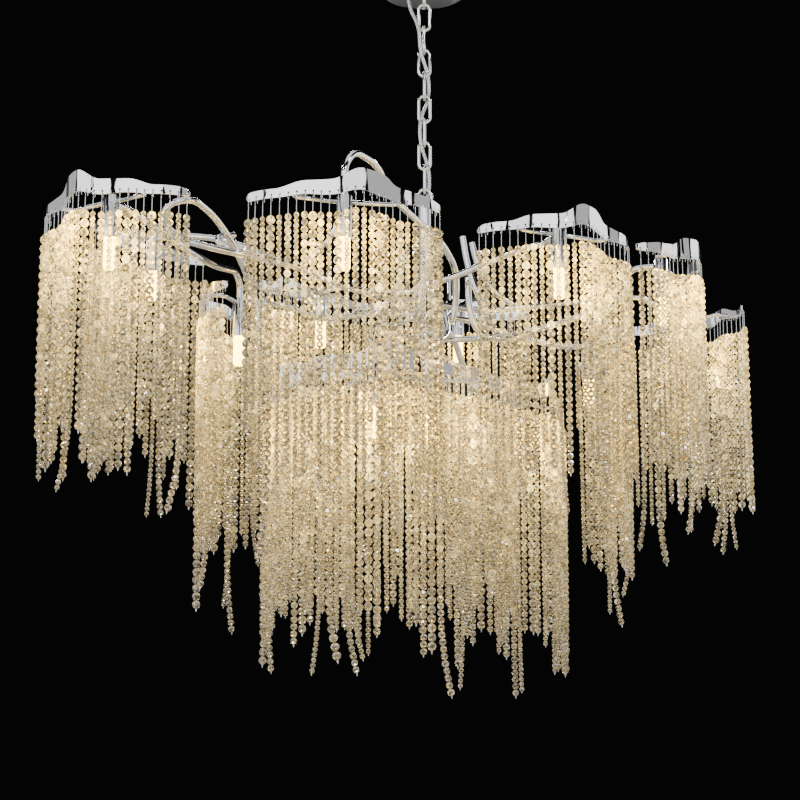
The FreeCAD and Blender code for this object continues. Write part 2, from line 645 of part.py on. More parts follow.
def make_arms():
    """Every main arm, two struts from each lamp holder to its plate, and the twigs of the arms."""
    diameter = size("arm_diameter")
    tubes = []
    for head in HEADS.values():
        tubes.append(tube(arm_points(head), diameter, size("arm_wall")))
        origin, side, out = head_axes(head)
        shift = plan_shift(head)
        for along in (size("strut_from_end"), size("plate_length") - size("strut_from_end")):
            point, normal, across = plate_frame(head, along, shift)
            level = lower_edge(head, across) + size("strut_above_edge") + size("strut_diameter") / 2
            seat = Vector(point.x, point.y, level) - normal * (size("plate_thick") / 2 + size("fit_gap"))
            corner = seat - normal * size("strut_run_in")
            hold = origin + Vector(0, 0, size("boss_height") / 2)
            way = Vector(corner.x - hold.x, corner.y - hold.y, 0).normalize()
            begin = hold + way * (holder_radius + size("fit_gap"))
            tubes.append(rod(smooth_path([begin, corner, seat]), size("strut_diameter")))
    for parent, run, route, meets in TWIGS:
        parent_points = arm_points(HEADS[parent])
        points = [(parent_points[run] + parent_points[run + 1]) / 2] + route_points(route)
        if meets:
            points.append(boss_top(HEADS[meets]))
        twig = tube(points, diameter, size("arm_wall"))
        tubes.append(twig.cut(rod(smooth_path(parent_points), diameter + 2 * size("fit_gap"))))
    return feature("arms", Part.Compound(tubes))


def cable_entry():
    """Where the cable's last straight run starts behind the stem, and where it ends in the stem's bore."""
    back = chain_axis(1)
    away = size("collar_diameter") / 2 + size("cable_room") + size("cable_diameter") / 2
    outside = back * away + Vector(0, 0, stem_top - size("cable_hole_below") + size("cable_hole_fall"))
    inside = Vector(0, 0, stem_top - size("cable_hole_below") - size("cable_hole_fall"))
    return outside, inside


# Power cable: from its hole in the canopy, in and out of every other link, past the loop and into the stem
def cable_points():
    right = chain_axis(0)
    back = chain_axis(1)
    corner = (right + back).normalize()
    top = right * -size("cable_offset") - Vector(0, 0, size("canopy_height") - size("cable_inside"))
    points = [top, top - Vector(0, 0, size("cable_inside") + size("cable_straight"))]
    side = -1
    for index in range(LINKS):
        level = first_link_level - (index + 0.5) * link_pitch
        if index > 0 and index % 2 == 0:
            side = -side
        points.append(corner * side * size("cable_aside") + Vector(0, 0, level))
    outside, inside = cable_entry()
    return points + [Vector(outside.x, outside.y, stem_collar_top), outside, inside]


def make_cable():
    """The cable as one round bar, with its volume set against its section times its length."""
    path = smooth_path(cable_points())
    cable = rod(path, size("cable_diameter"))
    expected = math.pi * (size("cable_diameter") / 2) ** 2 * path.Length
    bends = [edge.Curve.Radius for edge in path.Edges if hasattr(edge.Curve, "Radius")]
    print("cable length %.1f, least bend radius %.1f, volume ratio %.4f"
          % (path.Length, min(bends), cable.Volume / expected))
    return feature("power_cable", cable)


canopy = make_canopy()
bracket = make_bracket()
canopy_loop = ring_with_shank("canopy_loop", loop_level, 0, collar_low, -size("bracket_thick"), collar_low)
links = [make_link(index) for index in range(LINKS)]
stem = make_stem()
plug_low = stem_top - size("plug_length")
stem_loop = ring_with_shank("stem_loop", stem_loop_level, 1, plug_low, stem_top, stem_top)
hub = make_hub()
arms = make_arms()

all_hooks = []
holders = []
plates, curtains, bulbs = [], [], []
for name, head in HEADS.items():
    head["name"] = name
    holes, hooks, strands = make_curtain(name, head)
    plates.append(make_plate(name, head, holes))
    curtains.append(feature("curtain_" + name, Part.Compound(strands)))
    bulbs.append(make_bulb(name, head))
    all_hooks += hooks
    holders += make_holder(head)
strand_hooks = feature("strand_hooks", Part.Compound(all_hooks))
lamp_holders = feature("lamp_holders", Part.Compound(holders))
power_cable = make_cable()

kept = [canopy, bracket, canopy_loop, stem, stem_loop, hub, arms, strand_hooks, lamp_holders, power_cable]
kept += links + plates + curtains + bulbs

doc.recompute()
for item in doc.Objects:
    if "Invalid" in item.State or "Error" in item.State:
        raise RuntimeError("%s did not recompute: %s" % (item.Name, item.State))
for item in kept:
    if item.Shape.isNull() or not item.Shape.isValid():
        raise RuntimeError("%s has no valid shape" % item.Label)

os.makedirs("parts", exist_ok=True)
for item in kept:
    item.Shape.exportStep("parts/%s.step" % item.Label)
print("sub-parts written:", len(kept))
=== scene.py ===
import math

import bmesh
import bpy
import numpy as np
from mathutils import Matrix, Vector


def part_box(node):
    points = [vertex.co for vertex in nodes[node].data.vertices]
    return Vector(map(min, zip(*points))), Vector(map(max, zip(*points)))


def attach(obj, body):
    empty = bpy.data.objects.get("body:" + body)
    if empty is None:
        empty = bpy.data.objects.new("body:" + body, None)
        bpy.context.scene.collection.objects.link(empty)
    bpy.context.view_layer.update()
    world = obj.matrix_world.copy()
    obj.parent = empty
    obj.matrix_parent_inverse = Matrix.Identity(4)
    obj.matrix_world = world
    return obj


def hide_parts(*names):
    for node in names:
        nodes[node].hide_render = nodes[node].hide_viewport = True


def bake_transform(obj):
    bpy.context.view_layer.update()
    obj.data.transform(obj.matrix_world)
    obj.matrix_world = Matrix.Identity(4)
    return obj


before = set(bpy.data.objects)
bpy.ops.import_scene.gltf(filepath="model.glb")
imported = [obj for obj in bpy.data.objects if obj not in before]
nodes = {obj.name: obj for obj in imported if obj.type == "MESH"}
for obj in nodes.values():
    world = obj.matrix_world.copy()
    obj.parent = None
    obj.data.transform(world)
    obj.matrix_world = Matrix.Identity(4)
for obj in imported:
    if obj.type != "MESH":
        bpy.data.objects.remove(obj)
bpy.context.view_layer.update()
scene = bpy.context.scene


# Ceiling strap and its two screw holes: a strip of steel with a threaded boss, stamped and then
# zinc-plated. It lies against the ceiling and is hidden by the canopy once the lamp hangs.
def linear(code):
    """An sRGB hex colour as the linear colour that the shaders work in."""
    values = [int(code[start:start + 2], 16) / 255 for start in (1, 3, 5)]
    return [v / 12.92 if v <= 0.04045 else ((v + 0.055) / 1.055) ** 2.4 for v in values] + [1.0]


def add(tree, kind, inputs=None, **settings):
    """A node of a tree, with its settings, its input values and its links from other sockets."""
    node = tree.nodes.new(kind)
    for name, value in settings.items():
        setattr(node, name, value)
    for name, value in (inputs or {}).items():
        if isinstance(value, bpy.types.NodeSocket):
            tree.links.new(value, node.inputs[name])
        else:
            node.inputs[name].default_value = value
    return node


def new_material(name):
    """An empty material and its node tree."""
    material = bpy.data.materials.new(name)
    material.use_nodes = True
    material.node_tree.nodes.clear()
    return material, material.node_tree


def finish_material(tree, shader, height=None, depth=0.0):
    """Ends a material in its output, with a bump of a real depth in metres where it has a height."""
    if height is not None:
        bump = add(tree, "ShaderNodeBump", {"Height": height, "Distance": depth, "Strength": 1.0})
        tree.links.new(bump.outputs["Normal"], shader.inputs["Normal"])
    add(tree, "ShaderNodeOutputMaterial", {"Surface": shader.outputs[0]})


# Zinc-plated steel, blue-passivated: pale grey with a faint cloudy spangle, neither bright nor dull
def zinc_plated_steel():
    spangle = 0.006
    material, tree = new_material("zinc_plated_steel")
    place = add(tree, "ShaderNodeTexCoord")
    cloud = add(tree, "ShaderNodeTexNoise", {
        "Vector": place.outputs["Object"], "Scale": 1 / spangle, "Detail": 3})
    tint = add(tree, "ShaderNodeMix", {"Factor": cloud.outputs["Fac"]}, data_type="RGBA")
    tint.inputs["A"].default_value = linear("#a9adb3")
    tint.inputs["B"].default_value = linear("#c3c2b8")
    rough = add(tree, "ShaderNodeMapRange", {"Value": cloud.outputs["Fac"], "To Min": 0.28, "To Max": 0.42})
    steel = add(tree, "ShaderNodeBsdfPrincipled", {
        "Base Color": tint.outputs["Result"], "Metallic": 1.0, "Roughness": rough.outputs["Result"]})
    finish_material(tree, steel, cloud.outputs["Fac"], 0.00002)
    return material


def dress(node, material):
    """Gives a CAD node that stays in view its finish."""
    mesh = nodes[node].data
    mesh.materials.clear()
    mesh.materials.append(material)


dress("ceiling_bracket", zinc_plated_steel())


# Chromed metal parts: the spun canopy, the two eyes, the centre tube, the turned hub and the bent
# tubes. All are polished before nickel and chrome plating, so edges are soft and faces run smoothly.
def smooth_copy(node, name, sharp=30.0):
    """A copy of a CAD node with its loose triangles joined and its curved faces shaded smooth."""
    mesh = nodes[node].data.copy()
    mesh.name = name
    work = bmesh.new()
    work.from_mesh(mesh)
    bmesh.ops.remove_doubles(work, verts=work.verts, dist=0.00001)
    work.to_mesh(mesh)
    work.free()
    mesh.polygons.foreach_set("use_smooth", [True] * len(mesh.polygons))
    mesh.set_sharp_from_angle(angle=math.radians(sharp))
    piece = bpy.data.objects.new(name, mesh)
    scene.collection.objects.link(piece)
    return piece


# Bright chrome plate over polished nickel: a cool mirror, with faint buffing haze that shows only
# as a slightly softer reflection here and there
def chrome_plate():
    haze = 0.018
    material, tree = new_material("chrome_plate")
    place = add(tree, "ShaderNodeTexCoord")
    buffing = add(tree, "ShaderNodeTexNoise", {
        "Vector": place.outputs["Object"], "Scale": 1 / haze, "Detail": 4})
    rough = add(tree, "ShaderNodeMapRange", {"Value": buffing.outputs["Fac"], "To Min": 0.03, "To Max": 0.11})
    metal = add(tree, "ShaderNodeBsdfPrincipled", {
        "Base Color": linear("#dfe0e2"), "Metallic": 1.0, "Roughness": rough.outputs["Result"]})
    finish_material(tree, metal)
    return material


chrome = chrome_plate()


def plated(node, body):
    """A chromed piece that stands for its CAD node."""
    piece = smooth_copy(node, node + "_chromed")
    piece.data.materials.clear()
    piece.data.materials.append(chrome)
    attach(piece, body)
    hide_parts(node)
    return piece


for node in ("canopy", "canopy_loop"):
    plated(node, "ceiling_mount")
for node in ("stem_loop", "stem", "hub", "arms"):
    plated(node, "lamp")


# Chain: eight oval links of round steel wire, bent and butt-welded, then barrel-plated in chrome.
# Each hangs a quarter turn from the last one.
LINKS = 8
for index in range(1, LINKS + 1):
    plated("chain_link_%d" % index, "link_%d" % index)


# Power cable: tinned conductors under a tinned braid, in a clear sleeve. It leaves the canopy, is
# woven through the chain by hand and goes in at the side of the centre tube.
def sleeved_braid():
    around, along = 8.0, 75.0
    material, tree = new_material("clear_pvc_over_tinned_braid")
    place = add(tree, "ShaderNodeTexCoord")
    where = add(tree, "ShaderNodeSeparateXYZ", {"Vector": place.outputs["UV"]})
    turned = add(tree, "ShaderNodeMath", {0: where.outputs["Y"], 1: around}, operation="MULTIPLY")
    moved = add(tree, "ShaderNodeMath", {0: where.outputs["X"], 1: along}, operation="MULTIPLY")
    lays = []
    for way in ("ADD", "SUBTRACT"):
        lay = add(tree, "ShaderNodeMath", {0: moved.outputs[0], 1: turned.outputs[0]}, operation=way)
        wave = add(tree, "ShaderNodeMath", {0: lay.outputs[0], 1: 1.0}, operation="PINGPONG")
        lays.append(wave.outputs[0])
    braid = add(tree, "ShaderNodeMath", {0: lays[0], 1: lays[1]}, operation="MAXIMUM")
    tint = add(tree, "ShaderNodeMix", {"Factor": braid.outputs[0]}, data_type="RGBA")
    tint.inputs["A"].default_value = linear("#56585b")
    tint.inputs["B"].default_value = linear("#e4e5e6")
    cable = add(tree, "ShaderNodeBsdfPrincipled", {
        "Base Color": tint.outputs["Result"], "Metallic": 0.75, "Roughness": 0.34, "Coat Weight": 1.0,
        "Coat Roughness": 0.06, "Coat IOR": 1.52})
    finish_material(tree, cable, braid.outputs[0], 0.00015)
    return material


CABLE_RADIUS = 0.00225
CABLE_ROUTE = [
    (-0.01710, 0.01385, -0.016), (-0.01710, 0.01385, -0.044),
    (-0.008553, -0.000899, -0.07855), (-0.008553, -0.000899, -0.11025),
    (0.008553, 0.000899, -0.14195), (0.008553, 0.000899, -0.17365),
    (-0.008553, -0.000899, -0.20535), (-0.008553, -0.000899, -0.23705),
    (0.008553, 0.000899, -0.26875), (0.008553, 0.000899, -0.30045),
    (0.008213, 0.010142, -0.3143), (0.008213, 0.010142, -0.3273), (0.0, 0.0, -0.3513),
]


def cable_mesh():
    """The whole cable as one tube along the smooth line of its route."""
    curve = bpy.data.curves.new("cable_line", "CURVE")
    curve.dimensions = "3D"
    line = curve.splines.new("NURBS")
    line.points.add(len(CABLE_ROUTE) - 1)
    for point, place in zip(line.points, CABLE_ROUTE):
        point.co = (*place, 1.0)
    line.order_u = 3
    line.use_endpoint_u = True
    line.resolution_u = 10
    curve.bevel_depth = CABLE_RADIUS
    curve.bevel_resolution = 4
    curve.use_fill_caps = True
    carrier = bpy.data.objects.new("cable_line", curve)
    mesh = bpy.data.meshes.new_from_object(carrier)
    bpy.data.objects.remove(carrier)
    return mesh


def cable_stretch(whole, top, bottom, name):
    """The part of the cable between two levels, closed where it is cut."""
    work = bmesh.new()
    work.from_mesh(whole)
    for level, upward in ((top, True), (bottom, False)):
        if level is None:
            continue
        everything = list(work.verts) + list(work.edges) + list(work.faces)
        cut = bmesh.ops.bisect_plane(work, geom=everything, plane_co=(0, 0, level), plane_no=(0, 0, 1),
                                     clear_outer=upward, clear_inner=not upward)
        rim = [edge for edge in cut["geom_cut"] if isinstance(edge, bmesh.types.BMEdge)]
        bmesh.ops.edgeloop_fill(work, edges=rim)
    bmesh.ops.recalc_face_normals(work, faces=work.faces)
    mesh = bpy.data.meshes.new(name)
    work.to_mesh(mesh)
    work.free()
    mesh.polygons.foreach_set("use_smooth", [True] * len(mesh.polygons))
    mesh.set_sharp_from_angle(angle=math.radians(50))
    return mesh


# Each stretch reaches from the middle of one link to the middle of the next and bends between them
HINGE_LEVELS = [-0.049 - 0.0317 * hinge for hinge in range(LINKS + 1)]
whole_cable = cable_mesh()
braid = sleeved_braid()
middles = [(upper + lower) / 2 for upper, lower in zip(HINGE_LEVELS, HINGE_LEVELS[1:])]
for index, level in enumerate(HINGE_LEVELS):
    top = middles[index - 1] if index else None
    bottom = middles[index] if index < LINKS else None
    name = "cable_stretch_%d" % (index + 1)
    stretch = bpy.data.objects.new(name, cable_stretch(whole_cable, top, bottom, name))
    scene.collection.objects.link(stretch)
    stretch.data.materials.clear()
    stretch.data.materials.append(braid)
    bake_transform(stretch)
    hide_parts("power_cable")


# Lamp holders: a chromed brass sleeve with a solid top, and a pressed ceramic insert that grips the
# lamp's pins. Sleeve and insert are separate shells of one CAD node.
def steatite():
    grain = 0.0012
    material, tree = new_material("steatite_ceramic")
    place = add(tree, "ShaderNodeTexCoord")
    speckle = add(tree, "ShaderNodeTexNoise", {
        "Vector": place.outputs["Object"], "Scale": 1 / grain, "Detail": 2})
    tint = add(tree, "ShaderNodeMix", {"Factor": speckle.outputs["Fac"]}, data_type="RGBA")
    tint.inputs["A"].default_value = linear("#efe9dc")
    tint.inputs["B"].default_value = linear("#faf7f0")
    ceramic = add(tree, "ShaderNodeBsdfPrincipled", {"Base Color": tint.outputs["Result"], "Roughness": 0.42})
    finish_material(tree, ceramic, speckle.outputs["Fac"], 0.00003)
    return material


def islands(work):
    """The separate shells of a mesh, as lists of its vertices, in the order of their first vertices."""
    seen = set()
    found = []
    for start in work.verts:
        if start in seen:
            continue
        seen.add(start)
        shell = [start]
        for vert in shell:
            for edge in vert.link_edges:
                other = edge.other_vert(vert)
                if other not in seen:
                    seen.add(other)
                    shell.append(other)
        found.append(shell)
    return found


def shells_of(node):
    """The shells of a CAD node as lists of points."""
    work = bmesh.new()
    work.from_mesh(nodes[node].data)
    bmesh.ops.remove_doubles(work, verts=work.verts, dist=0.00001)
    found = [[vert.co.copy() for vert in shell] for shell in islands(work)]
    work.free()
    return found


holders = smooth_copy("lamp_holders", "lamp_holder_sleeves_and_inserts")
holders.data.materials.clear()
holders.data.materials.append(chrome)
holders.data.materials.append(steatite())
work = bmesh.new()
work.from_mesh(holders.data)
SLEEVE_WIDTH = 0.0175
for shell in islands(work):
    width = max(vert.co.x for vert in shell) - min(vert.co.x for vert in shell)
    if width < SLEEVE_WIDTH:
        for face in {face for vert in shell for face in vert.link_faces}:
            face.material_index = 1
work.to_mesh(holders.data)
work.free()
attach(holders, "lamp")
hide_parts("lamp_holders")


# Capsule lamps: a quartz capsule with a pinched top and two wire pins, alight and warm white. The
# glowing core shows through the clear envelope.
def lit_quartz():
    material, tree = new_material("lit_quartz_capsule")
    glass = add(tree, "ShaderNodeBsdfPrincipled", {
        "Base Color": linear("#fff0d2"), "Roughness": 0.1, "Emission Color": linear("#ffd24a"),
        "Emission Strength": 16.0})
    finish_material(tree, glass)
    return material


capsule_glow = lit_quartz()
PIN_LENGTH = 0.012
heads = [name[len("bulb_"):] for name in nodes if name.startswith("bulb_")]
for head in heads:
    lamp = smooth_copy("bulb_" + head, "capsule_lamp_" + head)
    lamp.data.materials.clear()
    lamp.data.materials.append(capsule_glow)
    lamp.data.materials.append(chrome)
    pins_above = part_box("bulb_" + head)[1].z - PIN_LENGTH + 0.0001
    for face in lamp.data.polygons:
        if face.center.z > pins_above:
            face.material_index = 1
    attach(lamp, "capsule_" + head)
    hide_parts("bulb_" + head)


# Leaf plates: strips of stainless steel, laser-cut to their wavy outline, rolled, bent and polished
# to a mirror. A row of small holes for the hooks runs along the lower edge.
def mirror_steel():
    ripple = 0.045
    material, tree = new_material("mirror_polished_stainless")
    place = add(tree, "ShaderNodeTexCoord")
    waves = add(tree, "ShaderNodeTexNoise", {
        "Vector": place.outputs["Object"], "Scale": 1 / ripple, "Detail": 1})
    rough = add(tree, "ShaderNodeMapRange", {"Value": waves.outputs["Fac"], "To Min": 0.02, "To Max": 0.07})
    metal = add(tree, "ShaderNodeBsdfPrincipled", {
        "Base Color": linear("#e6e6e8"), "Metallic": 1.0, "Roughness": rough.outputs["Result"]})
    finish_material(tree, metal, waves.outputs["Fac"], 0.0008)
    return material


mirror = mirror_steel()
for head in heads:
    plate = smooth_copy("plate_" + head, "leaf_plate_" + head)
    plate.data.materials.clear()
    plate.data.materials.append(mirror)
    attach(plate, "lamp")
    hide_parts("plate_" + head)


# Hooks: short lengths of drawn stainless wire, bent through the plate's holes by hand; each carries
# one crystal strand.
def drawn_wire():
    lay = 0.002
    material, tree = new_material("drawn_stainless_wire")
    place = add(tree, "ShaderNodeTexCoord")
    draw_marks = add(tree, "ShaderNodeTexNoise", {
        "Vector": place.outputs["Object"], "Scale": 1 / lay, "Detail": 2})
    rough = add(tree, "ShaderNodeMapRange", {
        "Value": draw_marks.outputs["Fac"], "To Min": 0.15, "To Max": 0.30})
    metal = add(tree, "ShaderNodeBsdfPrincipled", {
        "Base Color": linear("#cfd0d2"), "Metallic": 1.0, "Roughness": rough.outputs["Result"]})
    finish_material(tree, metal)
    return material


def hook_tree(material):
    """Turns hook lines into round wire, with few faces because there are hundreds of hooks."""
    tree = bpy.data.node_groups.new("wire_hooks", "GeometryNodeTree")
    tree.interface.new_socket("Lines", in_out="INPUT", socket_type="NodeSocketGeometry")
    tree.interface.new_socket("Wire radius", in_out="INPUT", socket_type="NodeSocketFloat")
    tree.interface.new_socket("Hooks", in_out="OUTPUT", socket_type="NodeSocketGeometry")
    start = add(tree, "NodeGroupInput")
    lines = add(tree, "GeometryNodeMeshToCurve", {"Mesh": start.outputs["Lines"]})
    section = add(tree, "GeometryNodeCurvePrimitiveCircle", {
        "Resolution": 5, "Radius": start.outputs["Wire radius"]}, mode="RADIUS")
    wire = add(tree, "GeometryNodeCurveToMesh", {
        "Curve": lines.outputs["Curve"], "Profile Curve": section.outputs["Curve"], "Fill Caps": True})
    finish = add(tree, "GeometryNodeSetMaterial", {"Geometry": wire.outputs["Mesh"], "Material": material})
    real = add(tree, "GeometryNodeRealizeInstances", {"Geometry": finish.outputs["Geometry"]})
    add(tree, "NodeGroupOutput", {"Hooks": real.outputs["Geometry"]})
    return tree


def grown(name, vertices, edges, tree, attributes, settings):
    """The plain mesh that a tree makes from lines, with the lines' own values and the tree's inputs."""
    mesh = bpy.data.meshes.new("lines_of_" + name)
    mesh.from_pydata(vertices, edges, [])
    for label, values in attributes.items():
        mesh.attributes.new(label, "FLOAT", "POINT").data.foreach_set("value", values)
    carrier = bpy.data.objects.new("lines_of_" + name, mesh)
    scene.collection.objects.link(carrier)
    modifier = carrier.modifiers.new("grown", "NODES")
    modifier.node_group = tree
    for item in tree.interface.items_tree:
        if item.name in settings:
            modifier[item.identifier] = settings[item.name]
    bpy.context.view_layer.update()
    result = bpy.data.meshes.new_from_object(carrier.evaluated_get(bpy.context.evaluated_depsgraph_get()))
    result.name = name
    bpy.data.objects.remove(carrier)
    piece = bpy.data.objects.new(name, result)
    scene.collection.objects.link(piece)
    return piece


def hook_points(shell, radius, tail):
    """Line of one hook, read from its CAD shell: its foot, its bend over the plate and its tail."""
    low = min(point.z for point in shell)
    high = max(point.z for point in shell)
    feet = [point for point in shell if point.z < low + radius / 2]
    crowns = [point for point in shell if point.z > high - radius / 4]
    foot = sum(feet, Vector()) / len(feet)
    crown = sum(crowns, Vector()) / len(crowns)
    across = Vector((foot.x - crown.x, foot.y - crown.y, 0))
    bend = across.length
    across.normalize()
    middle = Vector((crown.x, crown.y, high - radius - bend))
    points = [Vector((foot.x, foot.y, low))]
    for step in range(5):
        angle = math.pi * step / 4
        points.append(middle + across * bend * math.cos(angle) + Vector((0, 0, bend * math.sin(angle))))
    points.append(points[-1] - Vector((0, 0, tail)))
    return points


WIRE_RADIUS = 0.00045
HOOK_TAIL = 0.004
vertices, edges = [], []
for shell in shells_of("strand_hooks"):
    first = len(vertices)
    vertices += hook_points(shell, WIRE_RADIUS, HOOK_TAIL)
    edges += [(at, at + 1) for at in range(first, len(vertices) - 1)]
wire = drawn_wire()
hooks = grown("wire_hooks", vertices, edges, hook_tree(wire), {}, {"Wire radius": WIRE_RADIUS})
hooks.data.polygons.foreach_set("use_smooth", [True] * len(hooks.data.polygons))
hooks.data.set_sharp_from_angle(angle=math.radians(75))
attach(hooks, "lamp")
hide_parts("strand_hooks")


# Crystal curtains: strands of pressed and polished clear glass beads in three sizes, threaded on wire
# with a small turned pin under the last bead. A few long strands curl at the end; the rest hang straight.

# Cut lead crystal, clear with a warm cast. The lamps' light in it is painted on as emission: the painted glow
# falls off with the distance to the lamp and differs from bead to bead, with a painted sparkle from facet to
# facet.
def cut_crystal_painted_glow():
    material, tree = new_material("cut_crystal_painted_glow")
    # Painted light: the glow near each lamp and the sparkle of random facets are emission colour, not light
    # that reaches the crystal from the lamps
    light = add(tree, "ShaderNodeAttribute", attribute_name="painted_lamp_glow")
    facet = add(tree, "ShaderNodeAttribute", attribute_name="facet")
    spark = add(tree, "ShaderNodeMath", {0: facet.outputs["Fac"], 1: 6.0}, operation="POWER")
    painted_facet_glint = add(tree, "ShaderNodeMapRange", {"Value": spark.outputs[0], "To Min": 0.0, "To Max": 14.0})
    # Random brightness of the painted glow from bead to bead
    share = add(tree, "ShaderNodeAttribute", attribute_name="share")
    lift = add(tree, "ShaderNodeMath", {0: share.outputs["Fac"], 1: 2.0}, operation="POWER")
    whole = add(tree, "ShaderNodeMapRange", {"Value": lift.outputs[0], "To Min": 0.55, "To Max": 1.8})
    painted_sparkle = add(tree, "ShaderNodeMath", {0: painted_facet_glint.outputs["Result"], 1: whole.outputs["Result"]},
                  operation="MULTIPLY")
    # Painted glow strength: the painted lamp glow times the painted sparkle of each facet and bead
    painted_glow_strength = add(tree, "ShaderNodeMath", {0: light.outputs["Fac"], 1: painted_sparkle.outputs[0]},
                 operation="MULTIPLY")
    tint = add(tree, "ShaderNodeMix", {"Factor": light.outputs["Fac"]}, data_type="RGBA")
    tint.inputs["A"].default_value = linear("#ffe59a")
    tint.inputs["B"].default_value = linear("#ffc800")
    crystal = add(tree, "ShaderNodeBsdfPrincipled", {
        "Base Color": linear("#e6d8b8"), "Roughness": 0.0, "IOR": 1.7, "Transmission Weight": 1.0,
        "Emission Color": tint.outputs["Result"], "Emission Strength": painted_glow_strength.outputs[0]})
    finish_material(tree, crystal)
    return material


def turned_shape(name, sides, rings):
    """A closed shape one unit wide, made of rings of flat facets given as height and radius."""
    work = bmesh.new()
    loops = []
    for height, radius in rings:
        loop = []
        for side in range(sides):
            angle = 2 * math.pi * side / sides
            loop.append(work.verts.new((radius * math.cos(angle), radius * math.sin(angle), height)))
        loops.append(loop)
    for upper, lower in zip(loops, loops[1:]):
        for side in range(sides):
            after = (side + 1) % sides
            work.faces.new((upper[side], lower[side], lower[after], upper[after]))
    work.faces.new(loops[0])
    work.faces.new(loops[-1][::-1])
    bmesh.ops.recalc_face_normals(work, faces=work.faces)
    mesh = bpy.data.meshes.new(name)
    work.to_mesh(mesh)
    work.free()
    return bpy.data.objects.new(name, mesh)


def strand_tree(bead, pin, crystal, wire):
    """Threads beads along each strand, each turned at random, and ends the strand in a pin."""
    tree = bpy.data.node_groups.new("crystal_strands", "GeometryNodeTree")
    tree.interface.new_socket("Strands", in_out="INPUT", socket_type="NodeSocketGeometry")
    tree.interface.new_socket("Seed", in_out="INPUT", socket_type="NodeSocketInt")
    tree.interface.new_socket("Beads", in_out="OUTPUT", socket_type="NodeSocketGeometry")
    start = add(tree, "NodeGroupInput")
    size = add(tree, "GeometryNodeInputNamedAttribute", {"Name": "bead"}, data_type="FLOAT")
    lines = add(tree, "GeometryNodeMeshToCurve", {"Mesh": start.outputs["Strands"]})
    marks = add(tree, "GeometryNodeResampleCurve", {
        "Curve": lines.outputs["Curve"], "Length": size.outputs["Attribute"]}, mode="LENGTH")
    along = add(tree, "GeometryNodeInputTangent")
    upright = add(tree, "FunctionNodeAlignRotationToVector", {"Vector": along.outputs["Tangent"]}, axis="Z")
    turn = add(tree, "FunctionNodeRandomValue", {"Seed": start.outputs["Seed"]}, data_type="FLOAT")
    turn.inputs[2].default_value = 0.0
    turn.inputs[3].default_value = 2 * math.pi
    spin = add(tree, "FunctionNodeAxisAngleToRotation", {"Angle": turn.outputs[1]})
    both = add(tree, "FunctionNodeRotateRotation", {
        "Rotation": upright.outputs[0], "Rotate By": spin.outputs[0]}, rotation_space="LOCAL")
    last = add(tree, "GeometryNodeCurveEndpointSelection", {"Start Size": 0, "End Size": 1})
    parts = []
    for shape, material, chosen in ((bead, crystal, None), (pin, wire, last.outputs["Selection"])):
        source = add(tree, "GeometryNodeObjectInfo", {"Object": shape})
        placed = add(tree, "GeometryNodeInstanceOnPoints", {
            "Points": marks.outputs["Curve"], "Instance": source.outputs["Geometry"],
            "Rotation": both.outputs[0], "Scale": size.outputs["Attribute"]})
        if chosen is not None:
            tree.links.new(chosen, placed.inputs["Selection"])
        luck = add(tree, "FunctionNodeRandomValue", {"Seed": start.outputs["Seed"]}, data_type="FLOAT")
        shared = add(tree, "GeometryNodeStoreNamedAttribute", {
            "Geometry": placed.outputs["Instances"], "Name": "share", "Value": luck.outputs[1]},
            data_type="FLOAT", domain="INSTANCE")
        real = add(tree, "GeometryNodeRealizeInstances", {"Geometry": shared.outputs["Geometry"]})
        finish = add(tree, "GeometryNodeSetMaterial", {
            "Geometry": real.outputs["Geometry"], "Material": material})
        parts.append(finish.outputs["Geometry"])
    strands = add(tree, "GeometryNodeJoinGeometry")
    for part in parts:
        tree.links.new(part, strands.inputs["Geometry"])
    chance = add(tree, "FunctionNodeRandomValue", {"Seed": start.outputs["Seed"]}, data_type="FLOAT")
    facets = add(tree, "GeometryNodeStoreNamedAttribute", {
        "Geometry": strands.outputs["Geometry"], "Name": "facet", "Value": chance.outputs[1]},
        data_type="FLOAT", domain="FACE")
    add(tree, "NodeGroupOutput", {"Beads": facets.outputs["Geometry"]})
    return tree


# Rings of the bead and of the pin, in bead sizes: height and radius
BEAD_SIZES = [0.006, 0.008, 0.010]
BEAD_RINGS = [(0.50, 0.12), (0.32, 0.38), (0.0, 0.5), (-0.32, 0.38), (-0.50, 0.12)]
PIN_RINGS = [(0.45, 0.05), (0.56, 0.12), (0.90, 0.03)]
bead_object = turned_shape("bead", 8, BEAD_RINGS)
pin_object = turned_shape("pin", 5, PIN_RINGS)
strands_tree = strand_tree(bead_object, pin_object, cut_crystal_painted_glow(), wire)


# Most strands end a little short of their column, so the fringe is as ragged as in the photograph. A
# strand counts as long, and curls at its end, when it passes the usual length of its curtain by this share.
RAGGED = 0.10
LONGER_THAN_MOST = 1.13
DRIFT = 0.0015
CURL = 0.011
CURL_FROM = 0.72


def strand_points(shell, long_strand):
    """Line of one strand from its CAD column, with the bead size nearest to the column's width."""
    low = min(point.z for point in shell)
    high = max(point.z for point in shell)
    x = (min(point.x for point in shell) + max(point.x for point in shell)) / 2
    y = (min(point.y for point in shell) + max(point.y for point in shell)) / 2
    width = max(point.x for point in shell) - min(point.x for point in shell)
    bead = min(BEAD_SIZES, key=lambda size: abs(size - width))
    phase = 37.0 * x + 53.0 * y
    top = high - bead / 2
    bottom = low + bead / 2
    if high - low < long_strand:
        bottom += RAGGED * (high - low) * abs(math.sin(41 * phase))
    steps = 10
    points = []
    for step in range(steps + 1):
        share = step / steps
        drift = DRIFT * share ** 2
        if high - low > long_strand:
            drift += CURL * max(0.0, share - CURL_FROM) ** 2 / (1 - CURL_FROM) ** 2
        points.append(Vector((x + drift * math.sin(9 * phase), y + drift * math.cos(9 * phase),
                              top + (bottom - top) * share)))
    return points, bead
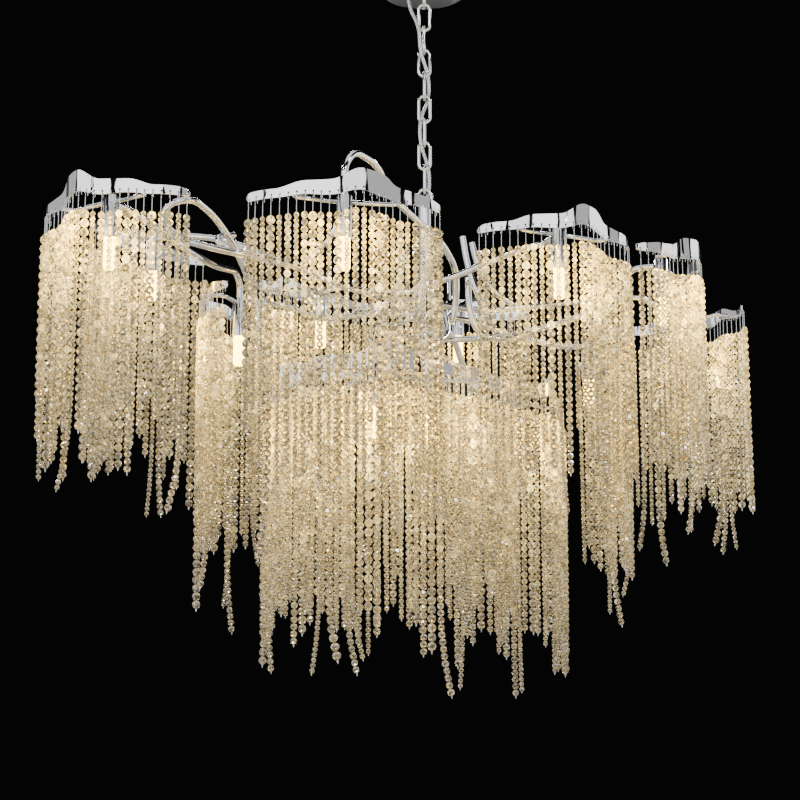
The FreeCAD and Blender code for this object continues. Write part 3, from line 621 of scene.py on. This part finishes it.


# Reach of the painted lamp glow in the crystal, in metres: a bright painted core and a soft painted glow over
# the whole curtain
PAINTED_GLOW_REACH = 0.060
PAINTED_SOFT_GLOW = 0.09
PAINTED_SOFT_GLOW_REACH = 0.20
for number, head in enumerate(heads):
    shells = shells_of("curtain_" + head)
    lengths = sorted(max(point.z for point in shell) - min(point.z for point in shell) for shell in shells)
    long_strand = LONGER_THAN_MOST * lengths[len(lengths) // 2]
    vertices, edges, sizes = [], [], []
    for shell in shells:
        points, bead = strand_points(shell, long_strand)
        first = len(vertices)
        vertices += points
        sizes += [bead] * len(points)
        edges += [(first + step, first + step + 1) for step in range(len(points) - 1)]
    curtain = grown("crystal_curtain_" + head, vertices, edges, strands_tree,
                    {"bead": sizes}, {"Seed": number})
    # Painted lamp glow on each point of the curtain, brighter the nearer the point is to its lamp
    lamp_low, lamp_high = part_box("bulb_" + head)
    places = np.empty(3 * len(curtain.data.vertices))
    curtain.data.vertices.foreach_get("co", places)
    away = np.linalg.norm(places.reshape(-1, 3) - np.array((lamp_low + lamp_high) / 2), axis=1)
    light = np.exp(-(away / PAINTED_GLOW_REACH) ** 2) + PAINTED_SOFT_GLOW * np.exp(-(away / PAINTED_SOFT_GLOW_REACH) ** 2)
    curtain.data.attributes.new("painted_lamp_glow", "FLOAT", "POINT").data.foreach_set("value", light)
    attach(curtain, "lamp")
    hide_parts("curtain_" + head)
bpy.data.objects.remove(bead_object)
bpy.data.objects.remove(pin_object)


# Studio: a plain pale floor in a dark room, eight tall soft boxes around the lamp, one overhead and six
# small bright lamps for the sparkle. The camera stands below the lamp and looks a little up.
FLOOR_LEVEL = -1.45
FLOOR_REACH = 8
corners = [(-1, -1), (1, -1), (1, 1), (-1, 1)]
floor_mesh = bpy.data.meshes.new("floor")
floor_mesh.from_pydata([(FLOOR_REACH * x, FLOOR_REACH * y, FLOOR_LEVEL) for x, y in corners],
                       [], [(0, 1, 2, 3)])
floor = bpy.data.objects.new("floor", floor_mesh)
scene.collection.objects.link(floor)
floor_material, floor_tree = new_material("pale_matt_floor")
matt = add(floor_tree, "ShaderNodeBsdfPrincipled", {"Base Color": linear("#d8d7d4"), "Roughness": 0.8})
finish_material(floor_tree, matt)
floor_mesh.materials.append(floor_material)

world = bpy.data.worlds.new("studio")
scene.world = world
world.use_nodes = True
surround = world.node_tree.nodes["Background"]
surround.inputs["Color"].default_value = linear("#09090a")
surround.inputs["Strength"].default_value = 1.0

# The boxes behind the lamp are dim, so the crystal shows dark centres with bright edges. Each light is
# its turn and distance about the middle, its level, its width and height, and its brightness.
MIDDLE_LEVEL = -0.56
FIRST_BOX = -151.5
BOX_STEP = 45
BOX_DISTANCE = 2.7
BOX_LEVEL = MIDDLE_LEVEL + 0.2
BOX_WIDTH = 1.9
BOX_HEIGHT = 2.6
BOX_BRIGHTNESS = [2.6, 1.9, 0.6, 2.2, 0.12, 0.12, 0.6, 2.2]
SPARKLE_DISTANCE = 2.2
SPARKLE_WIDTH = 0.22
SPARKLE_BRIGHTNESS = 40.0
SPARKLE_LAMPS = [(-180, 1.0), (-115, 0.9), (-70, 1.1), (0, 1.0), (60, 0.9), (120, 1.1)]
TOP_BOX = (-129, 0.5, 1.7, 2.2, 2.2, 1.2)
lights = []
for number, brightness in enumerate(BOX_BRIGHTNESS):
    turn = FIRST_BOX + BOX_STEP * number
    lights.append((turn, BOX_DISTANCE, BOX_LEVEL, BOX_WIDTH, BOX_HEIGHT, brightness))
for turn, level in SPARKLE_LAMPS:
    lights.append((turn, SPARKLE_DISTANCE, level, SPARKLE_WIDTH, SPARKLE_WIDTH, SPARKLE_BRIGHTNESS))
lights.append(TOP_BOX)
for turn, distance, level, width, height, brightness in lights:
    data = bpy.data.lights.new("soft_box", "AREA")
    data.shape = "RECTANGLE"
    data.size = width
    data.size_y = height
    data.energy = brightness * math.pi * width * height
    light = bpy.data.objects.new("soft_box", data)
    angle = math.radians(turn)
    light.location = (distance * math.cos(angle), distance * math.sin(angle), level)
    aim = Vector((0, 0, MIDDLE_LEVEL)) - light.location
    light.rotation_euler = aim.to_track_quat("-Z", "Y").to_euler()
    light.visible_camera = False
    scene.collection.objects.link(light)

CAMERA_PLACE = (-1.440, -1.728, -1.037)
CAMERA_PITCH = math.radians(11.63)
CAMERA_TURN = math.radians(-39)
camera_data = bpy.data.cameras.new("camera")
camera_data.lens = 82.4
camera_data.sensor_width = 36
camera = bpy.data.objects.new("camera", camera_data)
camera.location = CAMERA_PLACE
camera.rotation_euler = (math.pi / 2 + CAMERA_PITCH, 0, CAMERA_TURN)
scene.collection.objects.link(camera)
scene.camera = camera

bpy.context.view_layer.update()
